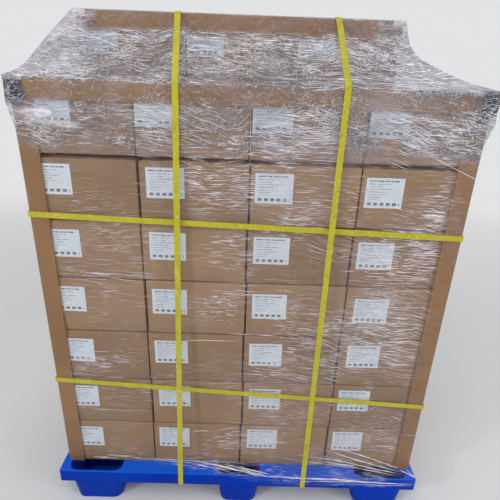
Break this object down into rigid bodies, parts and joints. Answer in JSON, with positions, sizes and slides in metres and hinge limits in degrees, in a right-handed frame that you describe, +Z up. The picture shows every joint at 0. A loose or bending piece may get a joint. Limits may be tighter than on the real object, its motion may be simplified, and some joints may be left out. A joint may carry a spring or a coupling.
{
  "type": "shrink wrapped pallet load",
  "caption": "Nestable plastic pallet loaded with stacked brown cartons and a set-back top tier, held by edge boards, clear stretch film and yellow straps.",
  "frame": {"origin": "on the floor under the middle of the pallet, bottom centre of the box", "axes": "+Z up, +X to the right of the labelled front, +Y from the front to the back"},
  "size_m": [1.2026, 1.0046, 1.5289],
  "materials": {
    "pallet_plastic": "injection moulded blue polyethylene, satin, faint flow grain",
    "carton_board": "plain brown corrugated board, matt, faint flute lines",
    "label_paper": "white coated label paper with small plain grey bars",
    "edge_board": "laminated paperboard angle, smooth brown liner",
    "film": "clear polyethylene stretch film, several wrinkled layers, glossy",
    "strap": "yellow polypropylene strap with a fine embossed diamond pattern"
  },
  "bodies": {
    "root": {"pallet": "pallet_plastic", "carton_layer_1": "carton_board", "carton_layer_2": "carton_board", "carton_layer_3": "carton_board", "carton_layer_4": "carton_board", "carton_layer_5": "carton_board", "carton_layer_6": "carton_board", "carton_layer_7": "carton_board", "carton_tier": "carton_board", "shipping_labels": "label_paper", "corner_board_front_left": "edge_board", "corner_board_front_right": "edge_board", "corner_board_back_left": "edge_board", "corner_board_back_right": "edge_board", "top_board_front": "edge_board", "top_board_back": "edge_board", "tier_board_front": "edge_board", "tier_board_back": "edge_board", "stretch_film": "film", "strap_vertical_left": "strap", "strap_vertical_right": "strap", "strap_girth_upper": "strap", "strap_girth_lower": "strap"}
  },
  "joints": []
}
